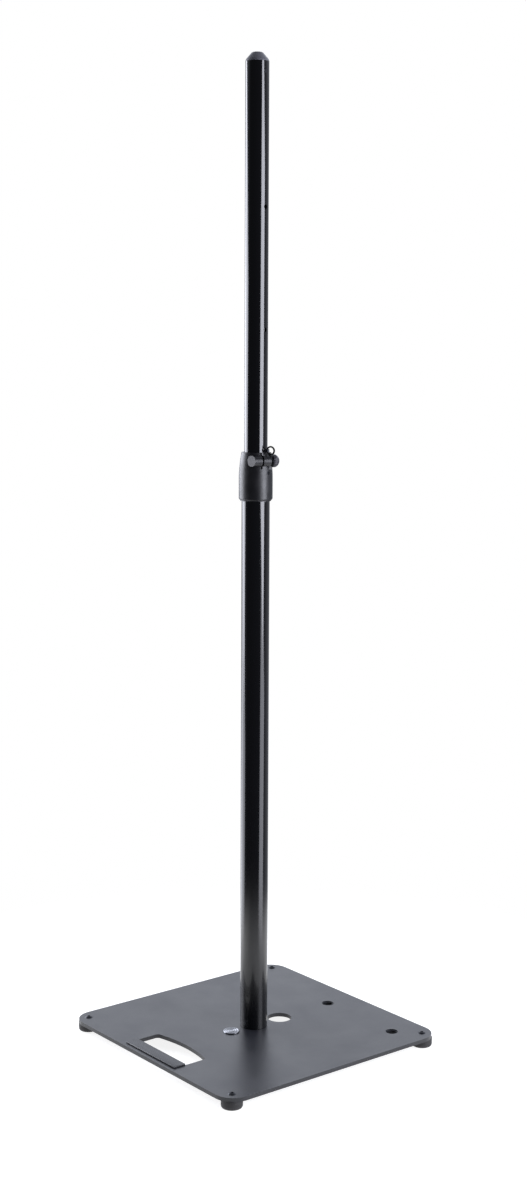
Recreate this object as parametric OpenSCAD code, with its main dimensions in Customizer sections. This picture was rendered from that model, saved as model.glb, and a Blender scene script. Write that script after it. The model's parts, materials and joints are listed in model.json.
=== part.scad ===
// Telescopic loudspeaker stand on a square steel base plate.
// The origin is on the floor under the pole's axis, and +Z is up.
// +X runs from the pole to the two spare M20 holes. The carry slot is at -X.

/* [Base plate] */
// Side of the square plate
plate_side = 412; // [380:1:450]
// Thickness of the steel plate
plate_t = 6; // [5:0.5:8]
// Radius of the plate's corners
corner_r = 32; // [24:1:40]
// Distance of each foot's screw from the plate's two nearest edges
foot_inset = 20; // [18:1:24]
// Distance of the spare M20 holes from the plate's edges
spare_inset = 53; // [45:1:60]
// Radius of the plain round cable hole
cable_hole_r = 19; // [16:0.5:21]
// Distance of the cable hole from the pole's axis
cable_hole_x = 52; // [48:1:60]

/* [Feet] */
// Height of the rubber feet
foot_h = 14; // [12:0.5:16]
// Radius of the rubber feet
foot_r = 16; // [14:0.5:18]

/* [Carry slot] */
// Length of the slot along Y
slot_l = 124; // [110:1:130]
// Depth of the slot along X at its ends
slot_w = 42; // [36:1:44]
// How far the slot's inner side bows out at the middle
slot_bow = 7; // [4:0.5:10]
// Distance from the plate's edge to the slot
slot_edge = 25.5; // [22:0.5:30]

/* [Tubes] */
// Outer diameter of the upper tube, the standard speaker size
upper_d = 35; // [34.8:0.1:35]
// Wall of the upper tube
upper_wall = 1.5; // [1.2:0.1:2]
// Outer diameter of the lower tube
lower_d = 42.4; // [42:0.1:43]
// Wall of the lower tube
lower_wall = 2; // [1.8:0.1:2.2]
// Height of the pole's top above the floor, as set
top_z = 1498; // [1400:1:1500]
// Distance between the locking holes in the upper tube
hole_pitch = 178; // [160:1:180]

/* [Collar] */
// Height of the collar's lower edge
collar_z = 845; // [800:1:860]
// Height of the collar from edge to edge
collar_h = 73; // [70:1:76]
// Radius of the collar's straight lower part
collar_r = 25.5; // [25:0.1:27]
// Radius of the collar's top edge
collar_top_r = 21.5; // [21:0.1:23]
// Direction that the clamp's slit faces
clamp_turn = 253; // [0:1:359]
// Direction of the locking holes, counted from the slit
lock_turn = 27; // [20:1:35]
// Diameter of the round clamp knob
knob_d = 19.2; // [18:0.1:19.6]

/* [Hidden] */

$fn = 96;
eps = 0.01;               // overlap that keeps cuts clean
running = 0.05;           // radial gap of a running fit

// Base
plate_z = foot_h;                              // underside of the plate
deck_z = foot_h + plate_t;                     // top face of the plate
half = plate_side / 2;
foot_xy = half - foot_inset;
foot_round = 4;                                // rounded lower edge of a foot
m6_r = 3;
m6_hole_r = 3.2;
screw_head_r = 6.2;
screw_head_h = 2.4;
nut_z = 2.2;                                   // lowest face of a foot's nut
nut_h = 5;
washer_t = 1.2;
foot_pocket_r = 8;
foot_pocket_h = nut_z + nut_h + washer_t;
m20_r = 10;                                    // outside of an M20 thread
m20_core_r = 8.75;                             // wall of an M20 tapped hole
tap_chamfer = 1;
boss_r = 14;                                   // welded nut under a spare M20 hole
boss_z = 6;
spare_xy = half - spare_inset;
slot_x = -half + slot_edge;                    // outer side of the slot
slot_corner_r = 6;
grip_t = 2.5;
grip_l = slot_l + 1;
grip_top_w = 17;
grip_low_w = 10;
grip_web_l = slot_l - 2 * slot_corner_r - 0.4;      // the web fits the slot's straight side
badge_x = -44;
badge_r = 12.5;
badge_t = 1.6;
pad_t = 0.3;

// Tubes
upper_r = upper_d / 2;
upper_bore_r = upper_r - upper_wall;
lower_r = lower_d / 2;
lower_bore_r = lower_r - lower_wall;
cap_h = 13;
cap_top_r = 7;
cap_r = upper_r - 0.1;
cap_band_h = 0.8;
cap_spigot_h = 32;
cap_z = top_z - cap_h;                         // top end of the upper tube
rivet_z = cap_z - 15;
rivet_r = 1.6;
rivet_head_r = 2.6;
rivet_head_t = 1;
rivet_face_x = upper_r - 0.25;                 // the countersunk heads lie flush in the tube
pin_r = 3;
lock_hole_r = 3.4;
clamp_h = 21;                                  // height of the collar's gripping part
lower_top_z = collar_z + collar_h - clamp_h;   // top end of the lower tube
liner_flange_t = 2;
liner_l = 47;
liner_z = lower_top_z - liner_l;
pin_z = collar_z + collar_h + pin_r + 0.2;     // the pin lies on the collar's top edge
glide_l = 30;
glide_top_z = liner_z - hole_pitch - 2;        // glide ring, one pitch below the liner
glide_z = glide_top_z - glide_l;
end_flange_t = 3;
upper_z = glide_z;                             // lower end of the upper tube
plug_l = 30;
stud_z = plate_z + 0.6;
stud_l = 32;

// Clamp, in its own frame: +X is the way that the slit faces, +Y points along the bolt
bolt_x = 24;                                   // distance of the bolt from the pole's axis
bolt_z = collar_z + collar_h - 12;
bolt_r = 4;
ear_r = 8.2;
ear_y = 13;                                    // half length of the two ears
slit_w = 2.6;
slit_z = bolt_z - 12;
pocket_r = 10.2;
pocket_z = bolt_z - 14;
neck_l = 2.2;                                  // gap for the tether between ear and washer
knob_washer_t = 1;
knob_washer_y = ear_y + neck_l;
knob_y = knob_washer_y + knob_washer_t;
knob_l = 11.4;
knob_bevel = 1.1;                              // bevel at the inner rim
knob_rim_l = 5;                                // length of the knob's straight rim
knob_r = knob_d / 2;
insert_r = 6;
insert_l = 7;
bolt_end_y = knob_y + insert_l;
head_r = 6.5;
head_h = 3;
head_y = ear_y - 0.2;                          // outer face of the bolt's head
ramp_y = ear_y + 6;                            // length of the longer ear before its flat is cut
ramp_a = 21.6;                                 // slant of that flat
ramp_l = 18;
rim_flat_x = upper_r + 1.9;                    // flat on the top edge, where the pin's ring hangs
rim_flat_w = 14;
rim_flat_z = collar_z + collar_h - 3;
collar_screw_z = bolt_z - 18;
collar_screw_r = 1.5;

// Safety pin, in its own frame: +X points outward along the pin
pin_tip_x = upper_r + 0.2;                     // drawn back just clear of the tube
lug_x = pin_tip_x + 3;
lug_w = 8;
lug_t = 4;
eye_x = lug_x + 2.3;                           // eye that the ring hangs in
eye_r = 1.5;
ring_r = 5.8;
ring_wire_r = 1;
ring_turn = 14;                                // the ring's own swing about the eye
cord_r = 0.9;
cord_bend_r = bolt_r + cord_r + 0.2;
cord_top_z = pin_z - ring_r + ring_wire_r + cord_r + 0.7;

// A square of side 2 * h with rounded corners
module rounded_square(h, r) {
    square([2 * h, 2 * (h - r)], center = true);
    square([2 * (h - r), 2 * h], center = true);
    for (sx = [-1, 1], sy = [-1, 1]) translate([sx * (h - r), sy * (h - r)]) circle(r);
}

// Outline of the carry slot: rounded corners and an inner side bowed towards the pole
module slot_outline() {
    bow_r = (pow(slot_l / 2, 2) + pow(slot_bow, 2)) / (2 * slot_bow);
    inner_x = slot_x + slot_w;
    translate([slot_x, -slot_l / 2 + slot_corner_r]) square([slot_w, slot_l - 2 * slot_corner_r]);
    translate([slot_x + slot_corner_r, -slot_l / 2])
        square([slot_w - 2 * slot_corner_r, slot_l]);
    for (x = [slot_x + slot_corner_r, inner_x - slot_corner_r], side = [-1, 1])
        translate([x, side * (slot_l / 2 - slot_corner_r)]) circle(slot_corner_r);
    intersection() {
        translate([inner_x - slot_corner_r, -slot_l / 2 + slot_corner_r / 2])
            square([slot_bow + slot_corner_r, slot_l - slot_corner_r]);
        translate([inner_x + slot_bow - bow_r, 0]) circle(bow_r, $fn = 360);
    }
}

// A tapped M20 hole through the plate and the nut under it, with a chamfer at each end
module m20_hole(x, y) {
    translate([x, y, boss_z - eps]) cylinder(r = m20_core_r, h = deck_z - boss_z + 2 * eps);
    translate([x, y, deck_z - tap_chamfer])
        cylinder(r1 = m20_core_r, r2 = m20_core_r + tap_chamfer + eps, h = tap_chamfer + eps);
    translate([x, y, boss_z - eps])
        cylinder(r1 = m20_core_r + tap_chamfer + eps, r2 = m20_core_r, h = tap_chamfer + eps);
}

// Children placed over each of the four feet
module at_feet() {
    for (sx = [-1, 1], sy = [-1, 1]) translate([sx * foot_xy, sy * foot_xy, 0]) children();
}

// Children placed in the clamp's own frame
module in_clamp_frame() {
    rotate([0, 0, clamp_turn]) children();
}

// Children placed in the safety pin's own frame
module in_lock_frame() {
    rotate([0, 0, clamp_turn + lock_turn]) children();
}

// A cylinder along the clamp bolt's axis from y to y + l
module bolt_cylinder(r, y, l) {
    translate([bolt_x, y, bolt_z]) rotate([-90, 0, 0]) cylinder(r = r, h = l);
}

// A cylinder that points outward along +X from x to x + l at height z
module outward(r, x, l, z) {
    translate([x, 0, z]) rotate([0, 90, 0]) cylinder(r = r, h = l);
}

module base_plate() {
    color("#46484b") difference() {
        union() {
            translate([0, 0, plate_z]) linear_extrude(plate_t) rounded_square(half, corner_r);
            for (y = [0, -spare_xy]) translate([spare_xy, y, boss_z])
                cylinder(r = boss_r, h = plate_z - boss_z + eps);
        }
        translate([0, 0, plate_z - eps]) linear_extrude(plate_t + 2 * eps) slot_outline();
        at_feet() translate([0, 0, plate_z - eps]) cylinder(r = m6_hole_r, h = plate_t + 2 * eps);
        translate([0, 0, plate_z - eps]) cylinder(r = m20_r, h = plate_t + 2 * eps);
        translate([cable_hole_x, 0, plate_z - eps])
            cylinder(r = cable_hole_r, h = plate_t + 2 * eps);
        m20_hole(spare_xy, 0);
        m20_hole(spare_xy, -spare_xy);
    }
}

// One foot: a rubber disc with a rounded lower edge and a pocket for its nut
module rubber_foot(sx, sy) {
    color("#1b1b1c") translate([sx * foot_xy, sy * foot_xy, 0]) difference() {
        rotate_extrude() {
            translate([0, foot_round]) square([foot_r, foot_h - foot_round]);
            square([foot_r - foot_round, foot_h]);
            translate([foot_r - foot_round, foot_round]) circle(foot_round);
        }
        translate([0, 0, -eps]) cylinder(r = foot_pocket_r, h = foot_pocket_h + eps);
        cylinder(r = m6_hole_r, h = foot_h + eps);
    }
}

module foot_front_left() {
    rubber_foot(-1, -1);
}

module foot_front_right() {
    rubber_foot(1, -1);
}

module foot_rear_right() {
    rubber_foot(1, 1);
}

module foot_rear_left() {
    rubber_foot(-1, 1);
}

// Low dome heads on the plate, shanks down through the feet
module foot_screws() {
    dome_r = (pow(screw_head_r, 2) + pow(screw_head_h, 2)) / (2 * screw_head_h);
    color("#6d6f73") at_feet() {
        translate([0, 0, nut_z]) cylinder(r = m6_r, h = deck_z - nut_z + eps);
        translate([0, 0, deck_z]) rotate_extrude() intersection() {
            translate([0, screw_head_h - dome_r]) circle(dome_r);
            square([screw_head_r, screw_head_h]);
        }
    }
}

module foot_washers() {
    color("#a9abae") at_feet() translate([0, 0, nut_z + nut_h]) difference() {
        cylinder(r = foot_pocket_r - 0.5, h = washer_t);
        translate([0, 0, -eps]) cylinder(r = m6_hole_r, h = washer_t + 2 * eps);
    }
}

module foot_nuts() {
    color("#a9abae") at_feet() translate([0, 0, nut_z]) difference() {
        cylinder(r = 5.77, h = nut_h, $fn = 6);
        translate([0, 0, -eps]) cylinder(r = m6_r + running, h = nut_h + 2 * eps);
    }
}

// A band of the grip strip, from x to x + w and z to z + t, centred along Y
module grip_band(x, w, z, t, l) {
    translate([slot_x + x, -l / 2, z]) cube([w, l, t]);
}

// A channel of soft plastic clipped over the outer edge of the carry slot
module grip_strip() {
    color("#17181a") {
        grip_band(-grip_low_w, grip_low_w + grip_t, plate_z - grip_t, grip_t, grip_l);
        grip_band(0, grip_t, plate_z - eps, plate_t + 2 * eps, grip_web_l);
        grip_band(grip_t / 2 - grip_top_w, grip_top_w + grip_t / 2, deck_z, grip_t, grip_l);
        translate([slot_x + grip_t / 2 - grip_top_w, grip_l / 2, deck_z]) rotate([90, 0, 0])
            linear_extrude(grip_l) intersection() {
                circle(grip_t);
                translate([-grip_t, 0]) square([grip_t + eps, grip_t]);
            }
    }
}

module badge_pad() {
    color("#d8d8d6") translate([badge_x, 0, deck_z]) cylinder(r = badge_r - 0.8, h = pad_t);
}

// A plain metal disc with a bevelled rim and a shallow ring turned into its face
module badge_disc() {
    face_z = deck_z + pad_t + badge_t;
    color("#c9cacc") translate([badge_x, 0, 0]) difference() {
        union() {
            translate([0, 0, deck_z + pad_t]) cylinder(r = badge_r, h = badge_t - 0.5);
            translate([0, 0, face_z - 0.5 - eps])
                cylinder(r1 = badge_r, r2 = badge_r - 0.6, h = 0.5 + eps);
        }
        translate([0, 0, face_z - 0.3]) difference() {
            cylinder(r = badge_r - 2, h = 0.3 + eps);
            translate([0, 0, -eps]) cylinder(r = badge_r - 3.4, h = 0.3 + 3 * eps);
        }
    }
}

// The outer tube stands on the plate and carries the collar
module lower_tube() {
    color("#1a1b20") difference() {
        translate([0, 0, deck_z]) cylinder(r = lower_r, h = lower_top_z - deck_z);
        translate([0, 0, deck_z - eps])
            cylinder(r = lower_bore_r, h = lower_top_z - deck_z + 2 * eps);
        in_lock_frame() outward(collar_screw_r + 0.1, -lower_r - 1, 2 * lower_r + 2, collar_screw_z);
    }
}

// Steel plug pressed into the foot of the lower tube and tapped for the stud
module pole_plug() {
    color("#8b8d91") difference() {
        translate([0, 0, deck_z]) cylinder(r = lower_bore_r - running, h = plug_l);
        translate([0, 0, deck_z - eps]) cylinder(r = m20_r, h = plug_l + 2 * eps);
    }
}

module base_stud() {
    color("#b9bbbe") {
        translate([0, 0, stud_z + tap_chamfer])
            cylinder(r = m20_r - running, h = stud_l - 2 * tap_chamfer);
        translate([0, 0, stud_z])
            cylinder(r1 = m20_core_r, r2 = m20_r - running, h = tap_chamfer + eps);
        translate([0, 0, stud_z + stud_l - tap_chamfer - eps])
            cylinder(r1 = m20_r - running, r2 = m20_core_r, h = tap_chamfer + eps);
    }
}

// Half section of the collar: rounded foot, straight wall, then a curved taper to the top edge
module collar_section() {
    foot_curve_r = 3;
    wall_h = 0.45 * collar_h;
    taper_h = collar_h - wall_h;
    taper_r = (pow(taper_h, 2) + pow(collar_r - collar_top_r, 2)) / (2 * (collar_r - collar_top_r));
    difference() {
        union() {
            translate([0, foot_curve_r]) square([collar_r, wall_h - foot_curve_r]);
            square([collar_r - foot_curve_r, wall_h]);
            translate([collar_r - foot_curve_r, foot_curve_r]) circle(foot_curve_r);
            intersection() {
                translate([collar_r - taper_r, wall_h]) circle(taper_r, $fn = 720);
                translate([0, wall_h - eps]) square([collar_r + 1, taper_h + eps]);
            }
        }
        square([lower_r + running, 2 * collar_h]);
    }
}

// Two ears in one line along the bolt, joined to the collar's wall. The ear at -Y is longer.
module clamp_ears() {
    web_h = 0.85 * ear_r;
    width = ramp_y + ear_y;
    bolt_cylinder(ear_r, -ramp_y, width);
    translate([upper_r + 1, -ramp_y, bolt_z - web_h]) cube([bolt_x - upper_r - 1, width, 2 * web_h]);
}

// Room beside the ear for the knob
module ear_pocket(y) {
    reach = 30;
    bolt_cylinder(pocket_r, y, reach);
    translate([bolt_x - pocket_r + 0.4, y, pocket_z]) cube([2 * reach, reach, bolt_z - pocket_z]);
}

// What a slanting flat takes off the end of the longer ear
module ear_ramp() {
    reach = 40;
    translate([bolt_x + ear_r, -ear_y, pocket_z]) rotate([0, 0, ramp_a])
        translate([-ramp_l, -reach, 0]) cube([ramp_l + reach, reach, reach]);
}

module collar_body() {
    color("#26272a") difference() {
        union() {
            translate([0, 0, collar_z]) rotate_extrude() collar_section();
            translate([0, 0, lower_top_z + liner_flange_t]) difference() {
                cylinder(r = lower_r + 1, h = clamp_h - liner_flange_t);
                translate([0, 0, -eps]) cylinder(r = upper_r, h = clamp_h);
            }
            in_clamp_frame() clamp_ears();
        }
        translate([0, 0, lower_top_z + liner_flange_t - eps])
            cylinder(r = upper_r + running, h = clamp_h);
        translate([0, 0, collar_z - eps])
            cylinder(r = lower_r + running, h = lower_top_z + liner_flange_t - collar_z + eps);
        in_clamp_frame() {
            ear_pocket(ear_y);
            ear_ramp();
            bolt_cylinder(head_r + running, -head_y - running, head_h + 2 * running);
            bolt_cylinder(bolt_r + 0.2, -head_y, head_y + ear_y + 1);
            translate([upper_r - 2, -slit_w / 2, slit_z]) cube([40, slit_w, 40]);
            outward(slit_w * 0.75, upper_r - 2, 14, slit_z);
        }
        in_lock_frame() translate([rim_flat_x, -rim_flat_w / 2, rim_flat_z])
            cube([10, rim_flat_w, 20]);
        in_lock_frame() for (side = [0, 180]) rotate([0, 0, side]) {
            outward(collar_screw_r + 0.1, lower_r - 1, 10, collar_screw_z);
            translate([collar_r - 1.7, 0, collar_screw_z]) rotate([0, 90, 0])
                cylinder(r1 = collar_screw_r, r2 = collar_screw_r + 2, h = 2);
        }
    }
}

// Nylon sleeve between the two tubes, with a flange over the lower tube's end
module collar_liner() {
    color("#d9d7cf") difference() {
        union() {
            translate([0, 0, liner_z]) cylinder(r = lower_bore_r - running, h = liner_l);
            translate([0, 0, lower_top_z]) cylinder(r = lower_r, h = liner_flange_t - 0.1);
        }
        translate([0, 0, liner_z - eps])
            cylinder(r = upper_r + running, h = liner_l + liner_flange_t + 1);
    }
}

// Countersunk screws that hold the collar on the lower tube
module collar_screws() {
    tip_x = lower_bore_r + 0.1;
    head_x = collar_r - 1.6;
    color("#2e2f31") in_lock_frame() for (side = [0, 180]) rotate([0, 0, side]) {
        outward(collar_screw_r, tip_x, head_x - tip_x + eps, collar_screw_z);
        translate([head_x, 0, collar_screw_z]) rotate([0, 90, 0])
            cylinder(r1 = collar_screw_r, r2 = collar_screw_r + 1.2, h = 1.2);
    }
}

// Bolt through both ears, with its flat head moulded into the longer ear
module clamp_bolt() {
    color("#9a9ca0") in_clamp_frame() {
        bolt_cylinder(bolt_r, -head_y, head_y + bolt_end_y);
        bolt_cylinder(head_r, -head_y, head_h);
    }
}

module knob_washer() {
    color("#b4b6b9") in_clamp_frame() difference() {
        bolt_cylinder(7.5, knob_washer_y, knob_washer_t);
        bolt_cylinder(bolt_r + 0.2, knob_washer_y - 1, knob_washer_t + 2);
    }
}

// Round knob with shallow finger flutes and a domed outer end
module clamp_knob() {
    flutes = 12;
    flute_r = 1.5;
    dome_h = knob_l - knob_rim_l;
    dome_r = (pow(knob_r, 2) + pow(dome_h, 2)) / (2 * dome_h);
    color("#2b2c2f") in_clamp_frame() difference() {
        translate([bolt_x, knob_y, bolt_z]) rotate([-90, 0, 0]) rotate_extrude() {
            square([knob_r - knob_bevel, knob_rim_l]);
            polygon([[0, 0], [knob_r - knob_bevel, 0], [knob_r, knob_bevel], [0, knob_bevel]]);
            translate([0, knob_bevel - eps]) square([knob_r, knob_rim_l - knob_bevel + eps]);
            intersection() {
                translate([0, knob_l - dome_r]) circle(dome_r);
                translate([0, knob_rim_l - eps]) square([knob_r, dome_h + eps]);
            }
        }
        translate([bolt_x, knob_y - eps, bolt_z]) rotate([-90, 0, 0])
            cylinder(r = insert_r, h = insert_l + eps, $fn = 6);
        for (i = [0 : flutes - 1])
            translate([bolt_x, knob_y + 2, bolt_z]) rotate([-90, 360 * i / flutes, 0])
                translate([knob_r + flute_r - 0.6, 0, 0]) cylinder(r = flute_r, h = knob_l, $fn = 32);
    }
}

// Threaded hexagon moulded into the knob
module knob_insert() {
    color("#b08d4a") in_clamp_frame() difference() {
        translate([bolt_x, knob_y + 0.1, bolt_z]) rotate([-90, 0, 0])
            cylinder(r = insert_r - 0.05, h = insert_l - 0.2, $fn = 6);
        bolt_cylinder(bolt_r + running, knob_y - 1, insert_l + 2);
    }
}

// Pin with a flattened lug at its outer end, lying on the collar's top edge
module safety_pin() {
    eye_round = 3;
    color("#a4a6aa") in_lock_frame() difference() {
        union() {
            outward(pin_r - 0.6, pin_tip_x, 1, pin_z);
            outward(pin_r, pin_tip_x + 0.6, lug_x - pin_tip_x, pin_z);
            translate([lug_x, -lug_w / 2, pin_z - lug_t / 2]) cube([1.6, lug_w, lug_t]);
            translate([lug_x + 1.5, -eye_round, pin_z - lug_t / 2])
                cube([eye_x - lug_x - 1.5, 2 * eye_round, lug_t]);
            translate([eye_x, 0, pin_z - lug_t / 2]) cylinder(r = eye_round, h = lug_t);
        }
        translate([eye_x, 0, pin_z - lug_t]) cylinder(r = eye_r, h = 2 * lug_t);
    }
}

// Wire ring through the pin's eye
module pin_ring() {
    color("#33343a") in_lock_frame() translate([eye_x, 0, pin_z]) rotate([0, 0, ring_turn])
        translate([ring_r, 0, 0]) rotate([90, 0, 0]) rotate_extrude()
            translate([ring_r, 0]) circle(ring_wire_r, $fn = 32);
}

// Closed loop of cord from the clamp bolt's neck up through the pin's ring
module tether_loop() {
    side_h = cord_top_z - cord_bend_r - bolt_z;
    color("#111215") in_clamp_frame() translate([bolt_x, ear_y + neck_l / 2, bolt_z]) {
        for (side = [-1, 1]) translate([side * cord_bend_r, 0, 0]) cylinder(r = cord_r, h = side_h);
        rotate([90, 0, 0]) rotate([0, 0, 180]) rotate_extrude(angle = 180)
            translate([cord_bend_r, 0]) circle(cord_r, $fn = 32);
        translate([0, 0, side_h]) rotate([90, 0, 0]) rotate_extrude(angle = 180)
            translate([cord_bend_r, 0]) circle(cord_r, $fn = 32);
    }
}

// The inner tube, with cross holes for the safety pin and for the cap's rivets
module upper_tube() {
    color("#15161b") difference() {
        translate([0, 0, upper_z]) cylinder(r = upper_r, h = cap_z - upper_z);
        translate([0, 0, upper_z - eps]) cylinder(r = upper_bore_r, h = cap_z - upper_z + 2 * eps);
        in_lock_frame() {
            for (i = [-1 : 2])
                outward(lock_hole_r, -upper_r - 1, 2 * upper_r + 2, pin_z + i * hole_pitch);
            outward(rivet_r, -upper_r - 1, 2 * upper_r + 2, rivet_z);
            for (side = [0, 180]) rotate([0, 0, side])
                translate([rivet_face_x - rivet_head_t - running, 0, rivet_z]) rotate([0, 90, 0])
                    cylinder(r1 = rivet_r, r2 = rivet_head_r + running + 1, h = rivet_head_t + running + 1);
        }
    }
}

// Plug in the upper tube's lower end, with a flange that carries the glide ring
module tube_end_plug() {
    color("#26272a") {
        translate([0, 0, upper_z]) cylinder(r = upper_bore_r - running, h = 20);
        translate([0, 0, upper_z - end_flange_t])
            cylinder(r = lower_bore_r - 0.5, h = end_flange_t - 0.1);
        translate([0, 0, upper_z - 0.2]) cylinder(r = upper_bore_r - 1, h = 1);
    }
}

// Nylon ring that guides the upper tube inside the lower one
module glide_ring() {
    color("#e2e0d8") difference() {
        translate([0, 0, glide_z + 0.1]) cylinder(r = lower_bore_r - running, h = glide_l - 0.2);
        translate([0, 0, glide_z - 1]) cylinder(r = upper_r + running, h = glide_l + 2);
    }
}

// Snap ring above the glide ring
module glide_clip() {
    color("#8b8d91") translate([0, 0, glide_top_z + 0.1]) difference() {
        cylinder(r = lower_bore_r - 0.5, h = 1.2);
        translate([0, 0, -1]) cylinder(r = upper_r + 0.02, h = 4);
        translate([0, -1.5, -1]) cube([40, 3, 4]);
    }
}

// Tapered plug that closes the top of the pole
module top_cap() {
    color("#5b5d62") difference() {
        union() {
            translate([0, 0, cap_z - cap_spigot_h])
                cylinder(r = upper_bore_r - running, h = cap_spigot_h + eps);
            translate([0, 0, cap_z]) cylinder(r = cap_r, h = cap_band_h);
            translate([0, 0, cap_z + cap_band_h - eps])
                cylinder(r1 = cap_r, r2 = cap_top_r, h = cap_h - cap_band_h + eps);
        }
        in_lock_frame() outward(rivet_r, -upper_r - 1, 2 * upper_r + 2, rivet_z);
    }
}

// Countersunk rivets through the tube's wall into the cap
module cap_rivets() {
    shank_x = upper_r - 7;
    neck_x = rivet_face_x - rivet_head_t;
    color("#c4c5c8") in_lock_frame() for (side = [0, 180]) rotate([0, 0, side]) {
        outward(rivet_r - 0.02, shank_x, neck_x - shank_x + eps, rivet_z);
        translate([neck_x, 0, rivet_z]) rotate([0, 90, 0])
            cylinder(r1 = rivet_r, r2 = rivet_head_r, h = rivet_head_t);
    }
}

base_plate();
foot_front_left();
foot_front_right();
foot_rear_right();
foot_rear_left();
foot_screws();
foot_washers();
foot_nuts();
grip_strip();
badge_pad();
badge_disc();
lower_tube();
pole_plug();
base_stud();
collar_body();
collar_liner();
collar_screws();
clamp_bolt();
knob_washer();
clamp_knob();
knob_insert();
safety_pin();
pin_ring();
tether_loop();
upper_tube();
tube_end_plug();
glide_ring();
glide_clip();
top_cap();
cap_rivets();
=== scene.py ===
# %% [markdown]
# # A telescopic loudspeaker stand
# A square steel plate on four rubber feet carries a pole of two tubes. A plastic collar grips the
# inner tube with a bolt and a small domed knob, and a safety pin on a cord rests on the collar's
# edge. The exact parts come in first as a fixed frame, and each cell after that adds the shape or
# the finish of one real piece. Every piece is drawn in millimetres and stored in metres.

# %% Load the exact parts
import json
import math
import bpy
import bmesh
from mathutils import Matrix, Vector


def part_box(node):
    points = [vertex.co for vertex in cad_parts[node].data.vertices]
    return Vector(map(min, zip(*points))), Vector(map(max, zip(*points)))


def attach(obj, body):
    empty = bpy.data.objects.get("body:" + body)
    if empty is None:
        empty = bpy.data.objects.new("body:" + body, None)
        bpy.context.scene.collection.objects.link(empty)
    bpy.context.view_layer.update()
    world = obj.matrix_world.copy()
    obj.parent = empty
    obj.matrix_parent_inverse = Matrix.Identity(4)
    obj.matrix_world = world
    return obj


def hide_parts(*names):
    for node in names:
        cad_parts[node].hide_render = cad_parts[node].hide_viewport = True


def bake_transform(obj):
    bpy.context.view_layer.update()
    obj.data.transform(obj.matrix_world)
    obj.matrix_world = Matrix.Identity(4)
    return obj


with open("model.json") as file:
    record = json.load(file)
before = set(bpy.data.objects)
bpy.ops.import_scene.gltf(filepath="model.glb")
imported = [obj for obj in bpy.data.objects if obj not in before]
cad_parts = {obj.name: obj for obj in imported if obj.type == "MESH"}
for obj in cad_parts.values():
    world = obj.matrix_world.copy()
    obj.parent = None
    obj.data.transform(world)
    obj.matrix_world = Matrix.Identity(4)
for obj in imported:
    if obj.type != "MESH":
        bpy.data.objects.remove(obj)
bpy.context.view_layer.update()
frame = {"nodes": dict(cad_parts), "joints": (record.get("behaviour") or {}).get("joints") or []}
nodes = frame["nodes"]
joints = {j["name"]: j for j in frame["joints"]}
MM = 0.001

# %% [markdown]
# ## Where things are
# The pole stands on the origin. The clamp and the safety pin are turned away from the main axes,
# so each gets a small frame of its own: local X points out from the pole and local Z points up.
# Their directions come from the joints, so the pieces stay in line with what moves.

# %% Frames of the clamp and of the pin
def frame_along(out, origin=Vector()):
    """A frame whose X axis is the level direction `out` and whose Z axis is up."""
    x = Vector((out[0], out[1], 0)).normalized()
    z = Vector((0, 0, 1))
    turn = Matrix((x, z.cross(x), z)).transposed().to_4x4()
    return Matrix.Translation(origin) @ turn


bolt_at = Vector(joints["clamp_turn"]["pos_m"])
bolt_way = Vector(joints["clamp_turn"]["axis"])
clamp_frame = frame_along(bolt_at)
pin_frame = frame_along(joints["safety_pin_slide"]["axis"])
bolt_x = Vector((bolt_at.x, bolt_at.y)).length / MM
bolt_z = bolt_at.z / MM
print("bolt axis is", round(bolt_x, 2), "mm from the pole, at height", round(bolt_z, 1))


def reach(node, origin, way):
    """How far a part reaches along a direction, in mm: (lowest, highest)."""
    steps = [(v.co - origin).dot(way) / MM for v in nodes[node].data.vertices]
    return min(steps), max(steps)


# %% [markdown]
# ## The camera
# The stand is seen from standing height, 2.7 m away, with one corner of the plate towards the
# viewer. A long lens keeps the tubes parallel. The lens is worked out for the taller side of the
# picture, because Blender's sensor width applies to the longer side.

# %% Camera
camera_turn = math.radians(38.32)
camera_distance, camera_height = 2.707, 1.066
deck_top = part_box("base_plate")[1].z
pitch, yaw, roll = (math.radians(a) for a in (-8.24, 0.264, 0.262))


def level_to_row(v):
    """From the viewer's axes (right, away, up) to the object's own axes."""
    c, s = math.cos(camera_turn), math.sin(camera_turn)
    return Vector((v[0] * c + v[1] * s, -v[0] * s + v[1] * c, v[2]))


ahead = Vector((math.sin(yaw) * math.cos(pitch), math.cos(yaw) * math.cos(pitch), math.sin(pitch)))
side = Vector((math.cos(yaw), -math.sin(yaw), 0))
over = side.cross(ahead)
right = side * math.cos(roll) + over * math.sin(roll)
up = over * math.cos(roll) - side * math.sin(roll)
lens = bpy.data.cameras.new("camera")
lens.sensor_fit = "AUTO"
lens.sensor_width = 36
lens.lens = 1804 / 1200 * 36
lens.clip_end = 50
camera = bpy.data.objects.new("camera", lens)
bpy.context.scene.collection.objects.link(camera)
columns = [level_to_row(v) for v in (right, up, -ahead)]
camera.matrix_world = (Matrix.Translation(level_to_row((0, -camera_distance, 0))
                                          + Vector((0, 0, camera_height + deck_top)))
                       @ Matrix(columns).transposed().to_4x4())
bpy.context.scene.camera = camera
print("camera at", [round(c, 3) for c in camera.location], "lens", round(lens.lens, 1), "mm")
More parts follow.
